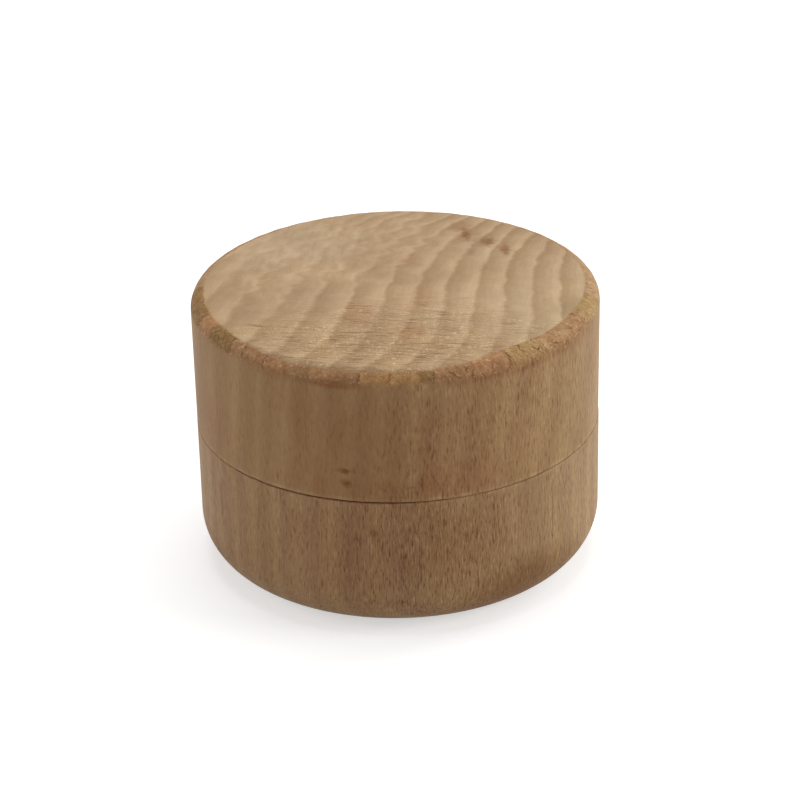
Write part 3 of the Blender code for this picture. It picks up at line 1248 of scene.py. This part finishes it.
def seam_shade_share(tree, layers):
    """How much painted shade browns the two thin lips at the seam."""
    browned = summed(tree, LIP_LEAST, ((layers["seam_shaded"], 1.0),))
    near = near_seam(tree, layers, 0.0, LIP_REACH, browned)
    return summed(tree, 0.0, ((near, layers["outside"]),))


def wood_colour(tree, layers, blank, shades):
    """Colour of every face before its brightness."""
    coats = (
        (layers["soft"], colour(blank["side_pale"]), "MIX"),
        (layers["ends"], end_colour(tree, layers), "MIX"),
        (layers["rim"], layers["rubbed"], "MIX"),
        (blots(tree, layers, shades), colour(SHADE_BROWN), "MULTIPLY"),
        # Less red at the right and on the cup's front.
        (layers["less_red"], colour(LESS_RED_CAST), "MULTIPLY"),
        # Painted shade on the foot.
        (layers["foot"], colour(FOOT_PAINTED_SHADE), "MULTIPLY"),
        # Painted shade on the lips of the seam.
        (seam_shade_share(tree, layers), colour(SEAM_SHADE_BROWN), "MIX"),
        (layers["marked"], colour(MARK_BROWN), "MIX"),
    )
    return coated(tree, colour(blank["side_dark"]), coats)


print("the lips at the seam are browned over", LIP_REACH, "mm")

# %% [markdown]
# ## Darker is warmer
#
# In wood a dark spot isn't only dimmer: light that goes deeper loses more blue than red. So most of
# the brightness works through a gamma, which deepens the colour, and only the rest scales it.

# %% Light the colour
DEEPEN = 0.6
DIM = 0.4


def lit(tree, shade, light):
    """The colour at that brightness, warmer where it is darker."""
    warmth = {"Color": shade, "Gamma": summed(tree, 1.0 + DEEPEN, ((light, -DEEPEN),))}
    deepened = add(tree, "ShaderNodeGamma", warmth).outputs[0]
    dimmed = {0: deepened, "Scale": summed(tree, 1.0 - DIM, ((light, DIM),))}
    return add(tree, "ShaderNodeVectorMath", dimmed, operation="SCALE").outputs[0]


print(f"at brightness 0.8 the gamma is {1.0 + DEEPEN * 0.2:.2f} and the scale {1.0 - DIM * 0.2:.2f}")

# %% [markdown]
# ## Relief
#
# Relief is slight: two hundredths of a millimetre of open grain, which is enough to break up the
# light at a low angle. Real displacement of that size would need millions of faces, so a bump does
# it. Flecks, marks and cracks are sunk, and crumbs stand up. Inside, where no sandpaper reached,
# the tool left fine rings round the axis. They lie about 0.1 mm apart and are drawn at 0.4 mm, so
# that they show.

# %% Cut the relief
RELIEF = 0.02
OPEN_GRAIN = {
    "fibre": 0.4,
    "ray": 0.3,
    "grit": 0.2,
    "dark_fleck": -0.5,
    "marked": -0.5,
    "cracks": -0.8,
    "crumbs": 1.0,
}
TOOL_PITCH = 0.4
TOOL_DEPTH = {"sanded": 0.0, "bored": 0.8}


def relief(tree, layers, tool_depth):
    """Normal of the surface with its open grain and the lines of the tool."""
    along_cut = {0: layers["from_axis"], 1: layers["height"]}
    along_cut = add(tree, "ShaderNodeMath", along_cut, operation="ADD").outputs[0]
    phase = {0: along_cut, 1: 2 * math.pi / TOOL_PITCH}
    phase = add(tree, "ShaderNodeMath", phase, operation="MULTIPLY").outputs[0]
    tool_lines = add(tree, "ShaderNodeMath", {0: phase}, operation="SINE").outputs[0]
    height = summed(tree, 0.0, (*weigh(layers, OPEN_GRAIN), (tool_lines, tool_depth)))
    bumped = {"Height": height, "Strength": 1.0, "Distance": RELIEF * MM}
    return add(tree, "ShaderNodeBump", bumped).outputs[0]


print("tool lines drawn", TOOL_PITCH, "mm apart")

# %% [markdown]
# ## All layers of one piece
#
# Both finishes need the same layers, drawn in the order in which they build on each other. A node
# group could hold them once for both, but a plain function is easier to follow and to change.

# %% Gather the layers
def beech_layers(tree, piece_name, blank):
    """Every pattern and share that colour, brightness and relief are made of."""
    layers = wood_places(tree, blank)
    axis_places(tree, layers)
    draw(tree, layers, SHARED | KINKS)
    for name, listed in ZONES.items():
        layers[name] = blots(tree, layers, listed)
    layers["marked"] = blots(tree, layers, MARKS[piece_name], edge="mark_edge")
    growth_rings(tree, layers, blank["rings"])
    draw(tree, layers, SIDE_GRAIN | END_GRAIN | SPLITS | CRUMBS)
    face_shares(tree, layers)
    rim_share(tree, layers)
    rim_blocks(tree, layers)
    rim_cracks(tree, layers)
    return layers


print("both finishes have", len(SHARED | KINKS | SIDE_GRAIN | END_GRAIN | SPLITS | CRUMBS), "patterns")


# %% [markdown]
# ## Sanded beech and bored beech
#
# Both finishes are bare beech with no varnish on it, so light sinks in and comes back soft: matt,
# warm, with only a faint sheen. Sanded beech is on the outside and looks even and a little dusty.
# Bored beech is inside and shows the rings of the tool. Wood has an IOR near 1.5 and isn't
# metallic. Its roughness of about 0.6 and a specular level below the usual 0.5 are matched to the
# real box, whose side has no highlight. The torn rim is rougher still.

# %% Put the wood together
ROUGHNESS = 0.62
MATT = {"fibre": 0.04, "ray": 0.04, "rim": 0.12}
BEECH_IOR = 1.5
SPECULAR_LEVEL = 0.35


def turned_beech(piece_name, finish):
    """Bare beech as it comes off the lathe and the sandpaper."""
    material = bpy.data.materials.new(f"beech_{finish}_{piece_name}")
    material.use_nodes = True
    tree = material.node_tree
    inputs = tree.nodes["Principled BSDF"].inputs
    blank = BLANKS[piece_name]
    layers = beech_layers(tree, piece_name, blank)
    light = brightness(tree, layers, blank, DENSE_FLECKS[piece_name])
    shade = wood_colour(tree, layers, blank, SHADES[piece_name])
    tree.links.new(lit(tree, shade, light), inputs["Base Color"])
    tree.links.new(relief(tree, layers, TOOL_DEPTH[finish]), inputs["Normal"])
    tree.links.new(summed(tree, ROUGHNESS, weigh(layers, MATT)), inputs["Roughness"])
    inputs["IOR"].default_value = BEECH_IOR
    inputs["Metallic"].default_value = 0.0
    inputs["Specular IOR Level"].default_value = SPECULAR_LEVEL
    return material


for piece in (cup, lid):
    for finish in TOOL_DEPTH:
        piece.data.materials.append(turned_beech(piece.name, finish))
    print(piece.name, "wears", [m.name for m in piece.data.materials])

# %% [markdown]
# ## Floor
#
# The box stands on a plain sheet, so large that its edge is never seen.

# %% Lay the floor
FLOOR_SIZE = 3000.0
half = FLOOR_SIZE / 2 * MM
sheet_corners = ((-half, -half), (half, -half), (half, half), (-half, half))
floor_mesh = bmesh.new()
floor_mesh.faces.new([floor_mesh.verts.new((x, y, 0)) for x, y in sheet_corners])
floor_data = bpy.data.meshes.new("floor")
floor_mesh.to_mesh(floor_data)
floor_mesh.free()
floor = bpy.data.objects.new("floor", floor_data)
bpy.context.scene.collection.objects.link(floor)
print("floor", FLOOR_SIZE * MM, "m wide")

# %% [markdown]
# ## Matt white paper
#
# The sheet is matt white paper, which scatters light evenly and has no gloss, so a diffuse shader
# is enough. More light would whiten it in the picture, but would bleach the wood too. So the paper
# glows a little, and only to rays that come from the camera, from a gloss or through glass: the
# picture's ground is white, the box's shadow stays on it, and no extra light reaches the wood.

# %% Make the paper
PAPER_WHITE = "#dcdcdc"
PAPER_GLOW = 0.55


def seen_share(tree):
    """1 for rays from the camera, from a gloss or through glass, and 0 for light that bounces."""
    path = add(tree, "ShaderNodeLightPath", {}).outputs
    seen = {0: path["Is Camera Ray"], 1: path["Is Glossy Ray"]}
    seen = add(tree, "ShaderNodeMath", seen, operation="ADD").outputs[0]
    through = {0: seen, 1: path["Is Transmission Ray"]}
    return add(tree, "ShaderNodeMath", through, operation="ADD").outputs[0]


paper = bpy.data.materials.new("matt_white_paper")
paper.use_nodes = True
paper_tree = paper.node_tree
paper_tree.nodes.clear()
glow = summed(paper_tree, 0.0, ((seen_share(paper_tree), PAPER_GLOW),))
matt = add(paper_tree, "ShaderNodeBsdfDiffuse", {"Color": colour(PAPER_WHITE)}).outputs[0]
glowing = add(paper_tree, "ShaderNodeEmission", {"Strength": glow}).outputs[0]
sheet = add(paper_tree, "ShaderNodeAddShader", {0: matt, 1: glowing}).outputs[0]
add(paper_tree, "ShaderNodeOutputMaterial", {"Surface": sheet})
floor.data.materials.append(paper)
print("paper", PAPER_WHITE, "with a glow of", PAPER_GLOW, "where it is seen")

# %% [markdown]
# ## Light from everywhere
#
# A white room lights the box softly from all sides. A picture of a studio could do that, but a
# plain background needs no file. It is white where it is seen, at a strength of 1, and dimmer as
# light.

# %% Whiten the room
AMBIENT, WHITE = 0.37, 1.0
world = bpy.data.worlds.new("studio")
bpy.context.scene.world = world
world.use_nodes = True
world_tree = world.node_tree
world_tree.nodes.clear()
levels = {"Value": seen_share(world_tree), "To Min": AMBIENT, "To Max": WHITE}
strength = add(world_tree, "ShaderNodeMapRange", levels).outputs[0]
backdrop = add(world_tree, "ShaderNodeBackground", {"Strength": strength}).outputs[0]
add(world_tree, "ShaderNodeOutputWorld", {"Surface": backdrop})
print("room light", AMBIENT, "of white")

# %% [markdown]
# ## Lamps
#
# A little more light comes from above and from both sides, most from the right, so that the top is
# the brightest face and the front is the darkest. A sun would give hard shadows. Round lamps half a
# metre from the box and half as wide keep every shadow's edge soft. Each lamp has a name, a place
# and a width in millimetres, and its watts.

# %% Light the box
LAMPS = (
    ("overhead", (0, 120, 620), 420, 1.62),
    ("back_right", (420, 260, 260), 260, 0.85),
    ("right", (480, -80, 240), 260, 0.93),
    ("left", (-470, 20, 250), 260, 0.38),
)

for name, place, width, watts in LAMPS:
    lamp = bpy.data.lights.new(name, "AREA")
    lamp.shape = "DISK"
    lamp.size = width * MM
    lamp.energy = watts
    holder = bpy.data.objects.new(name, lamp)
    holder.location = Vector(place) * MM
    holder.rotation_mode = "QUATERNION"
    holder.rotation_quaternion = (box_middle - Vector(place)).to_track_quat("-Z", "Y")
    bpy.context.scene.collection.objects.link(holder)
    print("lamp", name, f"{width} mm across, {watts} W")

# %% [markdown]
# ## Colours as written
#
# The view transform is Standard, so that colours come out as written.

# %% Finish
bpy.context.scene.view_settings.view_transform = "Standard"
